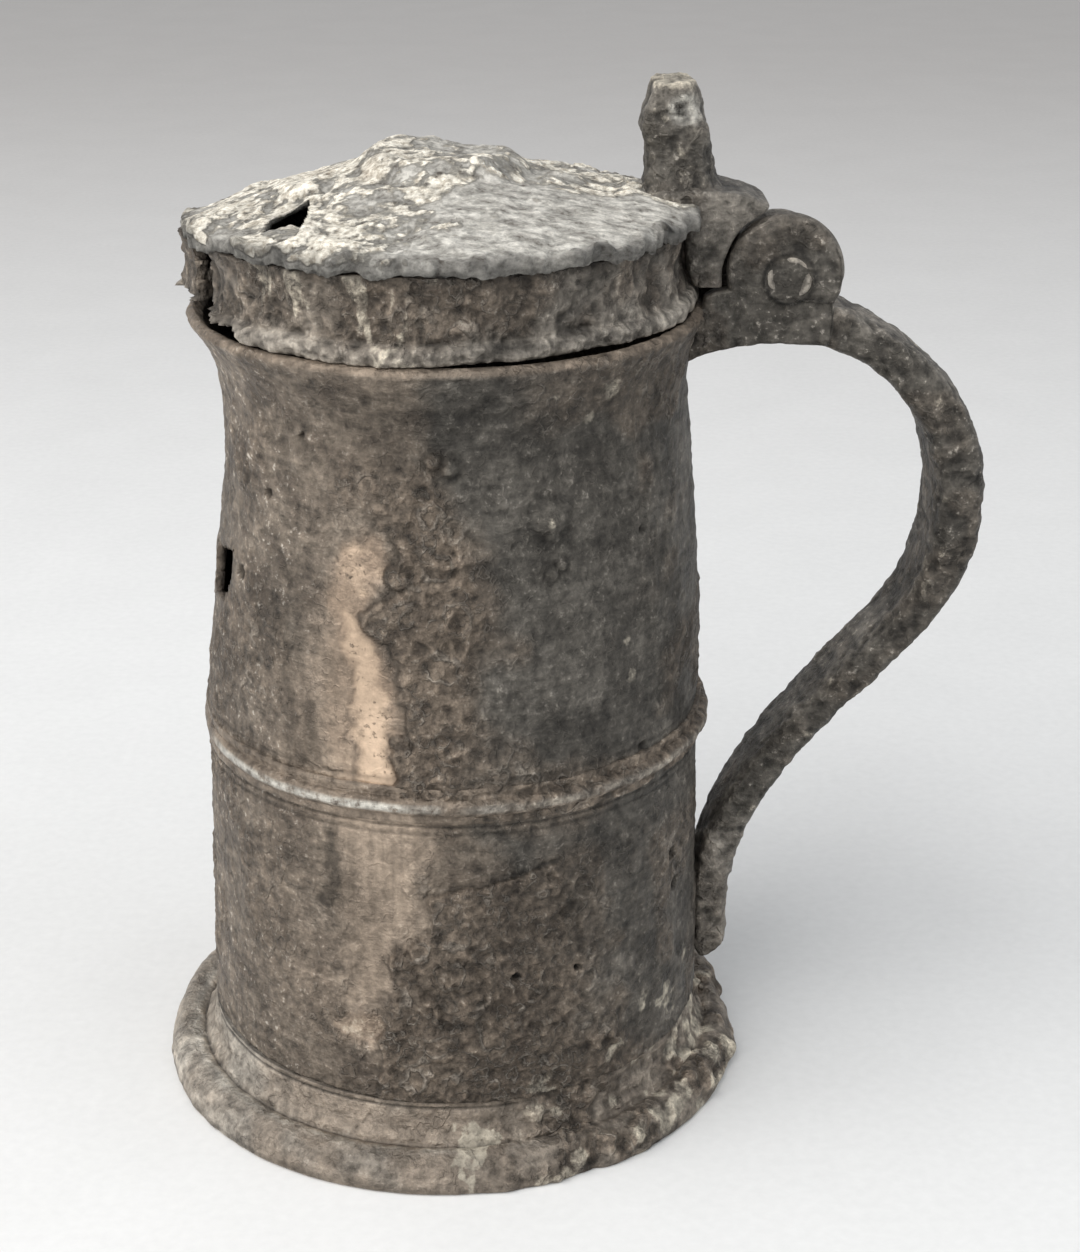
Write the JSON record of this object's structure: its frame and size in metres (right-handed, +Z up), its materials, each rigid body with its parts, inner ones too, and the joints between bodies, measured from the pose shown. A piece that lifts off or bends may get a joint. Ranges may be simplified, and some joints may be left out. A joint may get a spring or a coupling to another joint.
{
  "type": "lidded tankard",
  "caption": "Tall tapering drum on a spread foot with a raised waist band, a swan-neck handle and a hinged domed lid that lifts by a thumbpiece.",
  "frame": {"origin": "on the table plane under the middle of the object's outline box", "axes": "+Z up along the drum, +X towards the handle, +Y along the hinge pin"},
  "size_m": [0.168, 0.1216, 0.2075],
  "materials": {
    "foot_ring": "corroded cast pewter, crusted and nicked",
    "floor_disc": "dull corroded pewter",
    "lower_drum": "corroded pewter with pits, crust and bare patches",
    "upper_drum": "corroded pewter with pits, crust and bare patches",
    "waist_band": "pewter worn bright along the ridge",
    "handle": "corroded cast pewter, pitted",
    "hinge_pin": "worn pewter",
    "lid_wall": "corroded pewter, streaked",
    "lid_top": "pale flaking corrosion crust on pewter",
    "lid_lever": "corroded cast pewter",
    "thumbpiece": "corroded cast pewter with a worn facet"
  },
  "bodies": {
    "vessel": {"foot_ring": "foot_ring", "floor_disc": "floor_disc", "lower_drum": "lower_drum", "upper_drum": "upper_drum", "waist_band": "waist_band", "handle": "handle", "hinge_pin": "hinge_pin"},
    "lid": {"lid_wall": "lid_wall", "lid_top": "lid_top", "lid_lever": "lid_lever", "thumbpiece": "thumbpiece"}
  },
  "joints": [
    {"name": "lid_hinge", "type": "hinge", "parent": "vessel", "child": "lid", "pos_m": [0.0426, 0, 0.1704], "axis": [0, 1, 0], "range_deg": [0, 120]}
  ]
}
